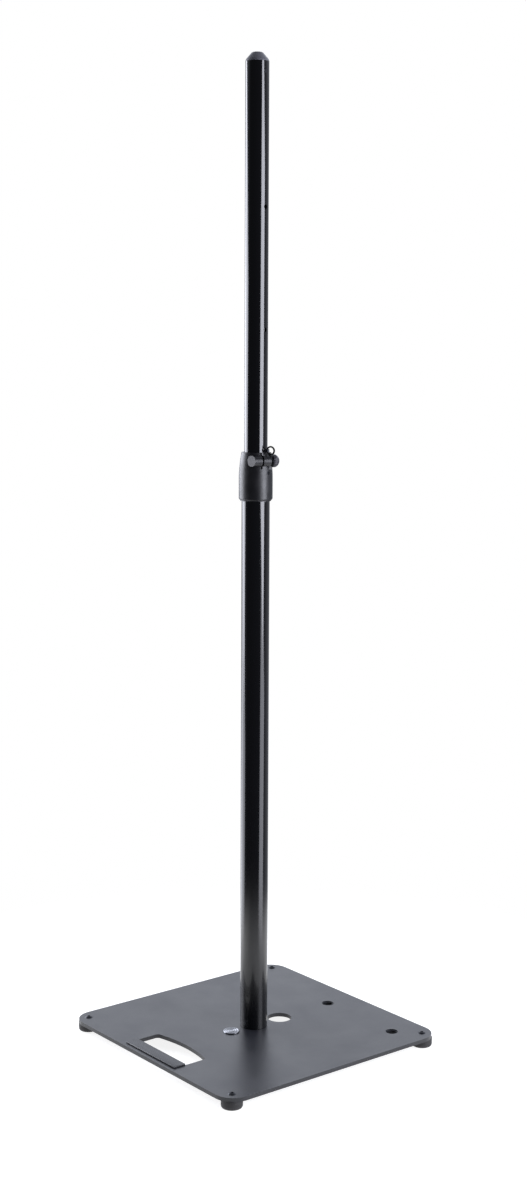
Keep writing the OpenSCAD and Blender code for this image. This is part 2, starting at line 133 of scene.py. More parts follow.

# %% [markdown]
# ## Light and floor
# Glossy black tubes show the studio more than their own colour. Two tall softboxes make the long
# bright stripes: one in front on the right, and one a little behind on the left. A weaker light
# under each stands for the lit floor below it. The room in front
# is dark, which keeps the middle of the tubes black, and the wall behind is white, which the
# satin plate mirrors as a mid grey. The camera sees plain white behind the stand. The floor is a
# white sheet that glows, with painted light making it brighter towards both sides, and it melts into the
# background at its edge.

# %% Softboxes
def softbox(name, angle, distance, width, low, high, brightness, tint=(1, 1, 1)):
    """An upright soft light, `angle` degrees round to the viewer's right of the line to the camera."""
    lamp = bpy.data.lights.new(name, "AREA")
    lamp.shape = "RECTANGLE"
    lamp.size, lamp.size_y = width, high - low
    lamp.energy = brightness * math.pi * width * (high - low)
    lamp.color = tint
    a = math.radians(angle)
    place = level_to_row((math.sin(a) * distance, -math.cos(a) * distance, (low + high) / 2))
    box = bpy.data.objects.new(name, lamp)
    bpy.context.scene.collection.objects.link(box)
    box.rotation_euler = (Vector((0, 0, place.z)) - place).to_track_quat("-Z", "Z").to_euler()
    box.location = place
    box.visible_camera = False
    return box


softbox("front_right", 60, 2.2, 1.35, 0.4, 1.85, 10.0, (0.88, 0.90, 1.0))
softbox("front_right_floor", 60, 2.2, 1.35, -1.1, 0.4, 3.6, (0.88, 0.90, 1.0))
softbox("back_left", -118, 2.2, 2.2, 0.4, 1.75, 6.6, (0.89, 0.91, 1.0))
softbox("back_left_floor", -118, 2.2, 2.2, -1.1, 0.4, 2.7, (0.89, 0.91, 1.0))

# %% [markdown]
# One small function adds a shader node with its settings and its links, so that each finish below
# reads as a short recipe. Colours are written as they look on a screen, and one function turns
# them into the linear values that the renderer needs.

# %% Helpers for shaders
def linear(code):
    """Screen colour such as '#2a2b2f' as linear RGBA."""
    parts = [int(code[i:i + 2], 16) / 255 for i in (1, 3, 5)]
    return [p / 12.92 if p <= 0.04045 else ((p + 0.055) / 1.055) ** 2.4 for p in parts] + [1.0]


def add(tree, kind, settings=(), **links):
    """One node: settings are (name, value) for a property or an input, links are input=socket."""
    node = tree.nodes.new(kind)
    for name, value in settings:
        if isinstance(name, int) or name in node.inputs:
            node.inputs[name].default_value = value
        else:
            setattr(node, name, value)
    for name, socket in links.items():
        key = int(name[3:]) if name.startswith("in_") else name.replace("_", " ")
        tree.links.new(socket, node.inputs[key])
    return node


# %% Room and floor
world = bpy.data.worlds.new("studio")
bpy.context.scene.world = world
world.use_nodes = True
room = world.node_tree
room.nodes.clear()
towards = level_to_row((0, -1, 0))
look = add(room, "ShaderNodeTexCoord")
facing = add(room, "ShaderNodeVectorMath", [("operation", "DOT_PRODUCT"), (1, towards)],
             in_0=look.outputs["Generated"])
rise = add(room, "ShaderNodeSeparateXYZ", in_0=look.outputs["Generated"])
back_wall = add(room, "ShaderNodeMapRange", [("From Min", 0.13), ("From Max", 0.3), ("To Min", 0.4),
                                             ("To Max", 2.12)], Value=rise.outputs["Z"])
ceiling = add(room, "ShaderNodeMapRange", [("From Min", 0.42), ("From Max", 0.8), ("To Min", 1.0),
                                           ("To Max", 0.35)], Value=rise.outputs["Z"])
behind = add(room, "ShaderNodeMath", [("operation", "MULTIPLY")], in_0=back_wall.outputs["Result"],
             in_1=ceiling.outputs["Result"])
front = add(room, "ShaderNodeMapRange", [("From Min", -0.3), ("From Max", 0.35), ("To Min", 0.0),
                                         ("To Max", 1.0)], Value=facing.outputs["Value"])
glow = add(room, "ShaderNodeMix", [("data_type", "FLOAT"), (3, 0.07)], in_0=front.outputs["Result"],
           in_2=behind.outputs["Value"])
rays = add(room, "ShaderNodeLightPath")
studio_side = add(room, "ShaderNodeBackground", [("Color", (0.86, 0.90, 1.0, 1.0))],
                  Strength=glow.outputs[0])
white_side = add(room, "ShaderNodeBackground", [("Color", (1, 1, 1, 1)), ("Strength", 1.0)])
choose = add(room, "ShaderNodeMixShader", in_0=rays.outputs["Is Camera Ray"],
             in_1=studio_side.outputs[0], in_2=white_side.outputs[0])
add(room, "ShaderNodeOutputWorld", Surface=choose.outputs[0])

floor_bm = bmesh.new()
bmesh.ops.create_circle(floor_bm, cap_ends=True, segments=96, radius=0.8)
floor_mesh = bpy.data.meshes.new("floor")
floor_bm.to_mesh(floor_mesh)
floor_bm.free()
floor = bpy.data.objects.new("floor", floor_mesh)
bpy.context.scene.collection.objects.link(floor)
paper = bpy.data.materials.new("white_studio_paper")
paper.use_nodes = True
floor_tree = paper.node_tree
page = floor_tree.nodes["Principled BSDF"]
page.inputs["Base Color"].default_value = linear("#a8a8a8")
page.inputs["Roughness"].default_value = 0.9
page.inputs["Emission Color"].default_value = (1, 1, 1, 1)
spot = add(floor_tree, "ShaderNodeTexCoord").outputs["Object"]
sideways = add(floor_tree, "ShaderNodeVectorMath", [("operation", "DOT_PRODUCT"),
                                                    (1, level_to_row((1, 0, 0)))], in_0=spot)
lit = add(floor_tree, "ShaderNodeMath", [("operation", "ABSOLUTE")], in_0=sideways.outputs["Value"])
# painted light: the floor's glow is made stronger towards its two sides, where the softboxes stand
sides = add(floor_tree, "ShaderNodeMapRange", [("From Min", 0.28), ("From Max", 0.5),
                                               ("To Min", 0.85), ("To Max", 1.9)],
            Value=lit.outputs[0])
floor_tree.links.new(sides.outputs[0], page.inputs["Emission Strength"])
away = add(floor_tree, "ShaderNodeVectorMath", [("operation", "LENGTH")], in_0=spot)
fade = add(floor_tree, "ShaderNodeMapRange", [("From Min", 0.45), ("From Max", 0.78),
                                              ("To Min", 0.0), ("To Max", 1.0)],
           Value=away.outputs["Value"])
clear = add(floor_tree, "ShaderNodeBsdfTransparent")
melt = add(floor_tree, "ShaderNodeMixShader", in_0=fade.outputs[0], in_1=page.outputs[0],
           in_2=clear.outputs[0])
floor_tree.links.new(melt.outputs[0], floor_tree.nodes["Material Output"].inputs["Surface"])
floor.data.materials.append(paper)
bpy.context.scene.view_settings.view_transform = "Standard"
print("floor and room ready")

# %% [markdown]
# ## Finishes
# Each finish starts from what the real one is and how it was made. Patterns are sized from real
# millimetres: `per_mm(x)` gives the texture scale whose grain is about x mm wide.

# %% Starting a finish
def per_mm(grain):
    """Texture scale for a grain of that many millimetres, on coordinates in metres."""
    return 1.0 / (grain * MM)


def new_finish(name, colour, roughness, metallic=0.0, **sockets):
    """A material with one Principled shader, and its object coordinates: (material, tree, shader, coordinates)."""
    finish = bpy.data.materials.new(name)
    finish.use_nodes = True
    tree = finish.node_tree
    shader = tree.nodes["Principled BSDF"]
    shader.inputs["Base Color"].default_value = linear(colour)
    shader.inputs["Roughness"].default_value = roughness
    shader.inputs["Metallic"].default_value = metallic
    for key, value in sockets.items():
        shader.inputs[key.replace("_", " ")].default_value = value
    where = add(tree, "ShaderNodeTexCoord").outputs["Object"]
    return finish, tree, shader, where


def join(tree, source, shader, socket):
    """Link a node's output into the shader."""
    tree.links.new(source, shader.inputs[socket])


# %% [markdown]
# **Gloss black paint on steel tube.** Sprayed stove enamel. It is nearly black with a sharp
# reflection, and a faint orange peel about 3 mm wide makes the stripes waver a little. Hands and
# the sliding collar leave fine upright rubs, seen only as slightly duller streaks. Near the floor,
# shoes and dust have dulled the shine.

# %% Gloss black paint
paint, tree, shader, where = new_finish("gloss_black_stove_paint", "#08080b", 0.11, IOR=1.5,
                                        Coat_Weight=0.25, Coat_Roughness=0.05)
peel = add(tree, "ShaderNodeTexNoise", [("Scale", per_mm(3.0)), ("Detail", 2.0)], Vector=where)
stretch = add(tree, "ShaderNodeMapping", [("Scale", (1.0, 1.0, 0.03))], Vector=where)
rubs = add(tree, "ShaderNodeTexNoise", [("Scale", per_mm(1.6)), ("Detail", 3.0)],
           Vector=stretch.outputs[0])
hands = add(tree, "ShaderNodeTexNoise", [("Scale", per_mm(70)), ("Detail", 3.0)], Vector=where)
both = add(tree, "ShaderNodeMath", [("operation", "MULTIPLY")], in_0=rubs.outputs[0],
           in_1=hands.outputs[0])
dull = add(tree, "ShaderNodeMapRange", [("From Min", 0.15), ("From Max", 0.5), ("To Min", 0.09),
                                        ("To Max", 0.16)], Value=both.outputs[0])
above = add(tree, "ShaderNodeSeparateXYZ", in_0=where)
shoes = add(tree, "ShaderNodeMapRange", [("From Min", 0.08), ("From Max", 0.32), ("To Min", 0.16),
                                         ("To Max", 0.0)], Value=above.outputs["Z"])
worn = add(tree, "ShaderNodeMath", [("operation", "ADD")], in_0=dull.outputs[0],
           in_1=shoes.outputs[0])
join(tree, worn.outputs[0], shader, "Roughness")
bump = add(tree, "ShaderNodeBump", [("Strength", 0.02), ("Distance", 0.0002)],
           Height=peel.outputs[0])
join(tree, bump.outputs[0], shader, "Normal")
print(paint.name)

# %% [markdown]
# **Powder coat on steel plate.** Baked polyester powder with a fine sand texture. The grains are
# about half a millimetre, too fine to show from here, so they are drawn at 1.3 mm. The satin skin
# blurs what it mirrors, and faint scuffs and dust lighten it in places.

# %% Powder coat
powder, tree, shader, where = new_finish("black_textured_powder_coat", "#1c1d21", 0.36, IOR=1.5)
grains = add(tree, "ShaderNodeTexVoronoi", [("Scale", per_mm(1.3)), ("feature", "SMOOTH_F1")],
             Vector=where)
waves = add(tree, "ShaderNodeTexNoise", [("Scale", per_mm(0.9)), ("Detail", 3.0)], Vector=where)
sand = add(tree, "ShaderNodeMath", [("operation", "ADD")], in_0=grains.outputs[0],
           in_1=waves.outputs[0])
bump = add(tree, "ShaderNodeBump", [("Strength", 0.12), ("Distance", 0.0003)],
           Height=sand.outputs[0])
join(tree, bump.outputs[0], shader, "Normal")
dust = add(tree, "ShaderNodeTexNoise", [("Scale", per_mm(60)), ("Detail", 5.0),
                                        ("Roughness", 0.6)], Vector=where)
tone = add(tree, "ShaderNodeMapRange", [("From Min", 0.3), ("From Max", 0.75), ("To Min", 0.0),
                                        ("To Max", 1.0)], Value=dust.outputs[0])
colour = add(tree, "ShaderNodeMix", [("data_type", "RGBA"), (6, linear("#1a1b1f")),
                                     (7, linear("#222329"))], in_0=tone.outputs[0])
join(tree, colour.outputs[2], shader, "Base Color")
scuff = add(tree, "ShaderNodeMapRange", [("From Min", 0.3), ("From Max", 0.75), ("To Min", 0.33),
                                         ("To Max", 0.41)], Value=dust.outputs[0])
join(tree, scuff.outputs[0], shader, "Roughness")
print(powder.name)

# %% [markdown]
# **Moulded black nylon.** Glass-filled polyamide from a spark-eroded mould, which leaves an even
# satin grain of about 0.3 mm (drawn at 0.7 mm). It is a very dark grey and scatters light in broad soft
# bands. Rubbed places are a little smoother.

# %% Moulded nylon
nylon, tree, shader, where = new_finish("moulded_black_nylon", "#0f0f13", 0.4, IOR=1.53)
grain = add(tree, "ShaderNodeTexNoise", [("Scale", per_mm(0.7)), ("Detail", 2.0)], Vector=where)
rubbed = add(tree, "ShaderNodeTexNoise", [("Scale", per_mm(14)), ("Detail", 3.0)], Vector=where)
gloss = add(tree, "ShaderNodeMapRange", [("From Min", 0.3), ("From Max", 0.7), ("To Min", 0.34),
                                         ("To Max", 0.44)], Value=rubbed.outputs[0])
join(tree, gloss.outputs[0], shader, "Roughness")
shade = add(tree, "ShaderNodeMix", [("data_type", "RGBA"), (6, linear("#0d0d11")),
                                    (7, linear("#141418"))], in_0=rubbed.outputs[0])
join(tree, shade.outputs[2], shader, "Base Color")
bump = add(tree, "ShaderNodeBump", [("Strength", 0.16), ("Distance", 0.00015)],
           Height=grain.outputs[0])
join(tree, bump.outputs[0], shader, "Normal")
print(nylon.name)

# %% [markdown]
# **Knob nylon.** The knob is moulded without the glass fibre, so it is a shade lighter and a little
# more matt than the collar, with a purple-grey cast.

# %% Knob nylon
knob_nylon, tree, shader, where = new_finish("moulded_grey_black_nylon", "#2b292f", 0.46, IOR=1.53)
speck = add(tree, "ShaderNodeTexNoise", [("Scale", per_mm(0.6)), ("Detail", 2.0)], Vector=where)
touch = add(tree, "ShaderNodeTexNoise", [("Scale", per_mm(6)), ("Detail", 3.0)], Vector=where)
grease = add(tree, "ShaderNodeMapRange", [("From Min", 0.3), ("From Max", 0.7), ("To Min", 0.38),
                                          ("To Max", 0.52)], Value=touch.outputs[0])
join(tree, grease.outputs[0], shader, "Roughness")
cast = add(tree, "ShaderNodeMix", [("data_type", "RGBA"), (6, linear("#29272d")),
                                   (7, linear("#343138"))], in_0=touch.outputs[0])
join(tree, cast.outputs[2], shader, "Base Color")
bump = add(tree, "ShaderNodeBump", [("Strength", 0.14), ("Distance", 0.00015)],
           Height=speck.outputs[0])
join(tree, bump.outputs[0], shader, "Normal")
print(knob_nylon.name)

# %% [markdown]
# **Rubber foot.** Moulded natural rubber filled with carbon black: matt, slightly pitted, and
# greyer towards the floor, where it picks up dust.

# %% Rubber
rubber, tree, shader, where = new_finish("black_moulded_rubber", "#1a191b", 0.62, IOR=1.52)
pits = add(tree, "ShaderNodeTexNoise", [("Scale", per_mm(1.0)), ("Detail", 4.0)], Vector=where)
low = add(tree, "ShaderNodeSeparateXYZ", in_0=where)
floor_dust = add(tree, "ShaderNodeMapRange", [("From Min", 0.0), ("From Max", 0.006),
                                              ("To Min", 0.55), ("To Max", 0.0)],
                 Value=low.outputs["Z"])
patchy = add(tree, "ShaderNodeMath", [("operation", "MULTIPLY")], in_0=floor_dust.outputs[0],
             in_1=pits.outputs[0])
grey = add(tree, "ShaderNodeMix", [("data_type", "RGBA"), (6, linear("#1a191b")),
                                   (7, linear("#4b4a4a"))], in_0=patchy.outputs[0])
join(tree, grey.outputs[2], shader, "Base Color")
bump = add(tree, "ShaderNodeBump", [("Strength", 0.25), ("Distance", 0.0003)],
           Height=pits.outputs[0])
join(tree, bump.outputs[0], shader, "Normal")
print(rubber.name)

# %% [markdown]
# **Metals of the small hardware.** Black oxide is a thin dark skin that still shines like steel.
# Zinc plate is bright and slightly blue, with cloudy patches. The pin is drawn rod, blackened. The
# knob's insert is turned brass. One recipe serves them all:
# colour, roughness, the size of the marks and how strong they are.

# %% Metals
def metal(name, colour, worn, rough, mark_mm, strength, stretch_z=1.0):
    """A metal whose tone and roughness drift from place to place, with fine tool marks."""
    finish, tree, shader, where = new_finish(name, colour, rough, metallic=1.0)
    turned_marks = add(tree, "ShaderNodeMapping", [("Scale", (1.0, 1.0, stretch_z))], Vector=where)
    marks = add(tree, "ShaderNodeTexNoise", [("Scale", per_mm(mark_mm)), ("Detail", 4.0)],
                Vector=turned_marks.outputs[0])
    clouds = add(tree, "ShaderNodeTexNoise", [("Scale", per_mm(5)), ("Detail", 3.0)], Vector=where)
    mixed = add(tree, "ShaderNodeMix", [("data_type", "RGBA"), (6, linear(colour)),
                                        (7, linear(worn))], in_0=clouds.outputs[0])
    join(tree, mixed.outputs[2], shader, "Base Color")
    sheen = add(tree, "ShaderNodeMapRange", [("From Min", 0.3), ("From Max", 0.7),
                                             ("To Min", rough - 0.06), ("To Max", rough + 0.08)],
                Value=marks.outputs[0])
    join(tree, sheen.outputs[0], shader, "Roughness")
    bump = add(tree, "ShaderNodeBump", [("Strength", strength), ("Distance", 0.0001)],
               Height=marks.outputs[0])
    join(tree, bump.outputs[0], shader, "Normal")
    return finish


black_oxide = metal("black_oxide_steel", "#2b2c2f", "#3a3b3f", 0.34, 0.5, 0.12)
zinc = metal("bright_zinc_plate", "#b7bcc2", "#a3a8ad", 0.28, 0.6, 0.10)
pin_steel = metal("blackened_drawn_steel", "#303136", "#45464a", 0.32, 0.4, 0.08)
brass = metal("turned_brass", "#c09a55", "#a8843f", 0.30, 0.5, 0.10, stretch_z=0.2)
print("metals:", black_oxide.name, zinc.name, pin_steel.name, brass.name)

# %% [markdown]
# **Blackened wire.** The pin's ring is spring wire dipped in black lacquer, glossy with small bare
# rubs where it swings in the eye.

# %% Blackened wire
wire, tree, shader, where = new_finish("black_lacquered_spring_wire", "#0a0a0c", 0.3, IOR=1.5)
chips = add(tree, "ShaderNodeTexNoise", [("Scale", per_mm(1.4)), ("Detail", 4.0)], Vector=where)
bare = add(tree, "ShaderNodeMapRange", [("From Min", 0.66), ("From Max", 0.74)],
           Value=chips.outputs[0])
tint = add(tree, "ShaderNodeMix", [("data_type", "RGBA"), (6, linear("#0a0a0c")),
                                   (7, linear("#55575b"))], in_0=bare.outputs[0])
join(tree, tint.outputs[2], shader, "Base Color")
join(tree, bare.outputs[0], shader, "Metallic")
bump = add(tree, "ShaderNodeBump", [("Strength", 0.1), ("Distance", 0.0001)],
           Height=chips.outputs[0])
join(tree, bump.outputs[0], shader, "Normal")
print(wire.name)

# %% [markdown]
# **Plastics seen in small areas.** The grip is soft PVC with a fine cross-hatched texture about
# 1.6 mm wide. The top cap is dark grey moulded polyethylene. The liner and the glide ring are natural nylon,
# ivory and waxy. The pad under the badge is open white foam tape.

# %% Grip, cap, liner and pad plastics
grip_plastic, tree, shader, where = new_finish("soft_black_pvc_grip", "#26272b", 0.42, IOR=1.53)
slant = add(tree, "ShaderNodeMapping", [("Rotation", (0, 0, math.radians(45)))], Vector=where)
hatch_a = add(tree, "ShaderNodeTexWave", [("Scale", per_mm(1.6) / 6.28), ("bands_direction", "X")],
              Vector=slant.outputs[0])
hatch_b = add(tree, "ShaderNodeTexWave", [("Scale", per_mm(1.6) / 6.28), ("bands_direction", "Y")],
              Vector=slant.outputs[0])
hatch = add(tree, "ShaderNodeMath", [("operation", "MULTIPLY")], in_0=hatch_a.outputs[1],
            in_1=hatch_b.outputs[1])
bump = add(tree, "ShaderNodeBump", [("Strength", 0.45), ("Distance", 0.0003)],
           Height=hatch.outputs[0])
join(tree, bump.outputs[0], shader, "Normal")
# painted shade: the low places of the hatch are coloured darker than its raised lines
hatch_painted_shade = add(tree, "ShaderNodeMix", [("data_type", "RGBA"), (6, linear("#1c1d20")),
                                     (7, linear("#34353a"))], in_0=hatch.outputs[0])
join(tree, hatch_painted_shade.outputs[2], shader, "Base Color")


def plain_plastic(name, deep, pale, rough, grain_mm, strength, **sockets):
    """A moulded plastic with a drifting tone and an even grain."""
    finish, tree, shader, where = new_finish(name, deep, rough, IOR=1.5, **sockets)
    drift = add(tree, "ShaderNodeTexNoise", [("Scale", per_mm(9)), ("Detail", 3.0)], Vector=where)
    tone = add(tree, "ShaderNodeMix", [("data_type", "RGBA"), (6, linear(deep)),
                                       (7, linear(pale))], in_0=drift.outputs[0])
    join(tree, tone.outputs[2], shader, "Base Color")
    fine = add(tree, "ShaderNodeTexNoise", [("Scale", per_mm(grain_mm)), ("Detail", 3.0)],
               Vector=where)
    bump = add(tree, "ShaderNodeBump", [("Strength", strength), ("Distance", 0.0002)],
               Height=fine.outputs[0])
    join(tree, bump.outputs[0], shader, "Normal")
    return finish


cap_plastic = plain_plastic("dark_grey_polyethylene", "#56565d", "#626269", 0.5, 0.6, 0.2)
ivory_nylon = plain_plastic("natural_nylon", "#d6d1c2", "#e2ddd0", 0.38, 0.8, 0.08,
                            Subsurface_Weight=0.05)
foam = plain_plastic("white_foam_tape", "#c9c9c6", "#dcdcda", 0.9, 0.5, 0.6)
print("plastics ready")

# %% [markdown]
# **Turned badge metal.** A small aluminium disc faced on a lathe. Its tool marks are fine rings
# round its own middle, so the pattern's coordinates are moved to the disc's centre first. A real
# feed mark is 0.1 mm wide, and here it is 0.35 mm so that it shows.

# %% Badge metal
disc_low, disc_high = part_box("badge_disc")
disc_middle = (disc_low + disc_high) / 2
badge_metal, tree, shader, where = new_finish("lathe_turned_aluminium", "#8f9196", 0.27,
                                              metallic=1.0)
centre = add(tree, "ShaderNodeMapping", [("Location", (-disc_middle.x, -disc_middle.y, 0))],
             Vector=where)
rings = add(tree, "ShaderNodeTexWave", [("wave_type", "RINGS"), ("rings_direction", "Z"),
                                        ("Scale", per_mm(0.35) / 6.28), ("Distortion", 0.3)],
            Vector=centre.outputs[0])
bump = add(tree, "ShaderNodeBump", [("Strength", 0.18), ("Distance", 0.0001)],
           Height=rings.outputs[1])
join(tree, bump.outputs[0], shader, "Normal")
smudge = add(tree, "ShaderNodeTexNoise", [("Scale", per_mm(6)), ("Detail", 3.0)], Vector=where)
film = add(tree, "ShaderNodeMapRange", [("From Min", 0.3), ("From Max", 0.7), ("To Min", 0.22),
                                        ("To Max", 0.34)], Value=smudge.outputs[0])
join(tree, film.outputs[0], shader, "Roughness")
print(badge_metal.name)

# %% [markdown]
# **Braided cord.** A limp polyester braid of eight strands. The pattern runs on the cord's own
# UV map, so that the strands cross at a steady angle along every bend.

# %% Braid
braid, tree, shader, where = new_finish("braided_black_polyester", "#0e0e10", 0.75, IOR=1.5,
                                        Sheen_Weight=0.3, Sheen_Roughness=0.4)
along = add(tree, "ShaderNodeUVMap", [("uv_map", "UVMap")]).outputs[0]
plus = add(tree, "ShaderNodeMapping", [("Rotation", (0, 0, math.radians(45)))], Vector=along)
strand_a = add(tree, "ShaderNodeTexWave", [("Scale", 1.25), ("bands_direction", "X")],
               Vector=plus.outputs[0])
strand_b = add(tree, "ShaderNodeTexWave", [("Scale", 1.25), ("bands_direction", "Y")],
               Vector=plus.outputs[0])
weave = add(tree, "ShaderNodeMath", [("operation", "MAXIMUM")], in_0=strand_a.outputs[1],
            in_1=strand_b.outputs[1])
bump = add(tree, "ShaderNodeBump", [("Strength", 0.8), ("Distance", 0.0003)],
           Height=weave.outputs[0])
join(tree, bump.outputs[0], shader, "Normal")
# painted shade: the gaps between the strands are coloured darker than their crowns
braid_painted_shade = add(tree, "ShaderNodeMix", [("data_type", "RGBA"), (6, linear("#08080a")),
                                          (7, linear("#1c1c20"))], in_0=weave.outputs[0])
join(tree, braid_painted_shade.outputs[2], shader, "Base Color")
print(braid.name)

# %% [markdown]
# ## Making pieces
# Most parts of a stand like this come off a lathe or out of a tube, so most pieces here are an
# outline spun about an axis. The outline's corners are then bevelled a little, because real edges
# are never razor sharp and the thin highlight on them is what makes a piece look solid.

# %% Spinning an outline
def turned(outline, steps=96, soften=0.0, segments=3, closed=False):
    """Spin an outline of (radius, height) points in mm about Z, and soften its sharp rings."""
    bm = bmesh.new()
    ring = [bm.verts.new((r, 0, z)) for r, z in outline]
    ends = ring[1:] + ring[:1] if closed else ring[1:]
    edges = [bm.edges.new(pair) for pair in zip(ring, ends)]
    bmesh.ops.spin(bm, geom=ring + edges, cent=(0, 0, 0), axis=(0, 0, 1), dvec=(0, 0, 0),
                   angle=2 * math.pi, steps=steps, use_merge=True)
    bmesh.ops.remove_doubles(bm, verts=bm.verts, dist=1e-4)
    bmesh.ops.recalc_face_normals(bm, faces=bm.faces)
    if soften:
        soften_edges(bm, soften, segments)
    return bm


def soften_edges(bm, width, segments=2, angle=28):
    """Bevel every edge whose faces meet at more than the angle."""
    sharp = [e for e in bm.edges if len(e.link_faces) == 2
             and e.calc_face_angle(0) > math.radians(angle)]
    bmesh.ops.bevel(bm, geom=sharp, offset=width, segments=segments, profile=0.5,
                    affect="EDGES", material=-1, clamp_overlap=True)


# %% Storing a piece
def make_piece(name, bm, finish, at=Matrix(), smooth=32):
    """Store a bmesh drawn in mm as an object in metres, placed by its mesh."""
    bmesh.ops.transform(bm, matrix=at @ Matrix.Scale(MM, 4), verts=bm.verts)
    bmesh.ops.recalc_face_normals(bm, faces=bm.faces)
    mesh = bpy.data.meshes.new(name)
    bm.to_mesh(mesh)
    bm.free()
    mesh.shade_smooth()
    mesh.set_sharp_from_angle(angle=math.radians(smooth))
    piece = bpy.data.objects.new(name, mesh)
    bpy.context.scene.collection.objects.link(piece)
    if finish:
        mesh.materials.append(finish)
    return piece


def settle(piece, smooth=32):
    """Apply the piece's modifiers to its mesh."""
    bpy.context.view_layer.update()
    seen = piece.evaluated_get(bpy.context.evaluated_depsgraph_get())
    mesh = bpy.data.meshes.new_from_object(seen)
    piece.modifiers.clear()
    piece.data = mesh
    mesh.name = piece.name
    mesh.shade_smooth()
    mesh.set_sharp_from_angle(angle=math.radians(smooth))
    return piece


# %% Flat faces that stay flat
def keep_flat(piece):
    """Weight the normals by face area, so that a big flat face isn't bent by the small bevel round it."""
    step = piece.modifiers.new("flat", "WEIGHTED_NORMAL")
    step.mode, step.weight, step.keep_sharp = "FACE_AREA", 100, True
    bpy.context.view_layer.update()
    seen = piece.evaluated_get(bpy.context.evaluated_depsgraph_get())
    mesh = bpy.data.meshes.new_from_object(seen)
    piece.modifiers.clear()
    piece.data = mesh
    mesh.name = piece.name


# %% [markdown]
# Holes and pockets are cut with the Boolean modifier. A cutter is a plain round or square bar that
# is thrown away afterwards. The edges that a cut leaves are then softened in the same way as the
# rest.

# %% Cutters
def round_bar(radius, length, at, segments=64):
    """A round cutter in mm that starts at the frame's origin and runs along its Z axis."""
    bm = bmesh.new()
    bmesh.ops.create_cone(bm, cap_ends=True, segments=segments, radius1=radius, radius2=radius,
                          depth=length, matrix=Matrix.Translation((0, 0, length / 2)))
    return make_piece("cutter", bm, None, at)


def square_bar(low, high, at=Matrix()):
    """A square cutter between two corners in mm."""
    bm = bmesh.new()
    size = Vector(high) - Vector(low)
    middle = (Vector(high) + Vector(low)) / 2
    bmesh.ops.create_cube(bm, size=1,
                          matrix=Matrix.Translation(middle) @ Matrix.Diagonal((*size, 1)))
    return make_piece("cutter", bm, None, at)


def cut(piece, cutters, way="DIFFERENCE"):
    """Cut the pieces away, or join them on, and remove the cutters."""
    for cutter in cutters:
        step = piece.modifiers.new("cut", "BOOLEAN")
        step.operation, step.object, step.solver = way, cutter, "EXACT"
    settle(piece)
    for cutter in cutters:
        bpy.data.objects.remove(cutter)
    return piece


def soften_piece(piece, width, segments=2, angle=30):
    """Bevel the sharp edges of a finished piece, by mm."""
    step = piece.modifiers.new("soften", "BEVEL")
    step.width, step.segments, step.limit_method = width * MM, segments, "ANGLE"
    step.angle_limit = math.radians(angle)
    step.miter_outer = "MITER_SHARP"
    step.use_clamp_overlap = True
    return settle(piece)


TO_X = Matrix.Rotation(math.radians(90), 4, "Y")      # turns a bar on Z to lie along +X
TO_Y = Matrix.Rotation(math.radians(-90), 4, "X")     # turns a bar on Z to lie along +Y

# %% [markdown]
# ## The base plate
# Laser-cut 6 mm steel with rounded corners. It starts as a block, its four upright edges get a
# wide bevel, and the slot and holes are cut through. The slot's inner side is bowed, so that side
# of its cutter is subdivided and pushed out along a curve.

# %% Plate and its holes
plate_low, plate_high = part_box("base_plate")
half = plate_high.x / MM
deck = plate_high.z / MM
under = deck - 6                                # the sheet is 6 mm thick
nut_under = deck - 14                           # the welded nuts reach this far down


def block(low, high, corner, segments):
    """A block in mm whose four upright edges are rounded."""
    bm = bmesh.new()
    size, middle = Vector(high) - Vector(low), (Vector(high) + Vector(low)) / 2
    bmesh.ops.create_cube(bm, size=1,
                          matrix=Matrix.Translation(middle) @ Matrix.Diagonal((*size, 1)))
    upright = [e for e in bm.edges if abs(e.verts[0].co.z - e.verts[1].co.z) > 0.5 * size.z]
    bmesh.ops.bevel(bm, geom=upright, offset=corner, segments=segments, profile=0.5,
                    affect="EDGES", material=-1)
    return bm


plate = make_piece("steel_base_plate", block((-half, -half, under), (half, half, deck), 32, 20),
                   powder)
slot_low, slot_high, slot_half, slot_bow = -half + 25.5, -half + 67.5, 62, 7
slot_bm = block((slot_low, -slot_half, under - 5), (slot_high, slot_half, deck + 5), 6, 8)
inner = [e for e in slot_bm.edges if all(v.co.x > slot_high - 0.01 for v in e.verts)
         and abs(e.verts[0].co.y - e.verts[1].co.y) > 50]
bmesh.ops.subdivide_edges(slot_bm, edges=inner, cuts=23)
for v in slot_bm.verts:
    if v.co.x > slot_high - 0.01:
        v.co.x += slot_bow * (1 - (v.co.y / (slot_half - 6)) ** 2)
cutters = [make_piece("cutter", slot_bm, None)]
tapped = [(half - 53, 0), (half - 53, -(half - 53))]
nuts = [round_bar(14, under - nut_under + 1, Matrix.Translation((x * MM, y * MM, nut_under * MM)), 6)
        for x, y in tapped]
cut(plate, nuts, "UNION")
for x, y, r in [(52, 0, 19), (0, 0, 10)] + [(x, y, 9.8) for x, y in tapped]:
    cutters.append(round_bar(r, 30, Matrix.Translation((x * MM, y * MM, (under - 15) * MM)), 96))
foot_xy = half - 20
for x in (-foot_xy, foot_xy):
    for y in (-foot_xy, foot_xy):
        cutters.append(round_bar(3.2, 16, Matrix.Translation((x * MM, y * MM, (under - 5) * MM)), 32))
cut(plate, cutters)
soften_piece(plate, 0.55, 3)
print("plate faces:", len(plate.data.polygons))

# %% [markdown]
# The two spare holes go on through a welded nut, tapped M20 with a 2.5 mm pitch. The thread is a small wedge-shaped outline
# spun round the hole while it climbs, which the spin operator does with `dvec`. It joins the plate's own
# mesh, since it is the same steel.

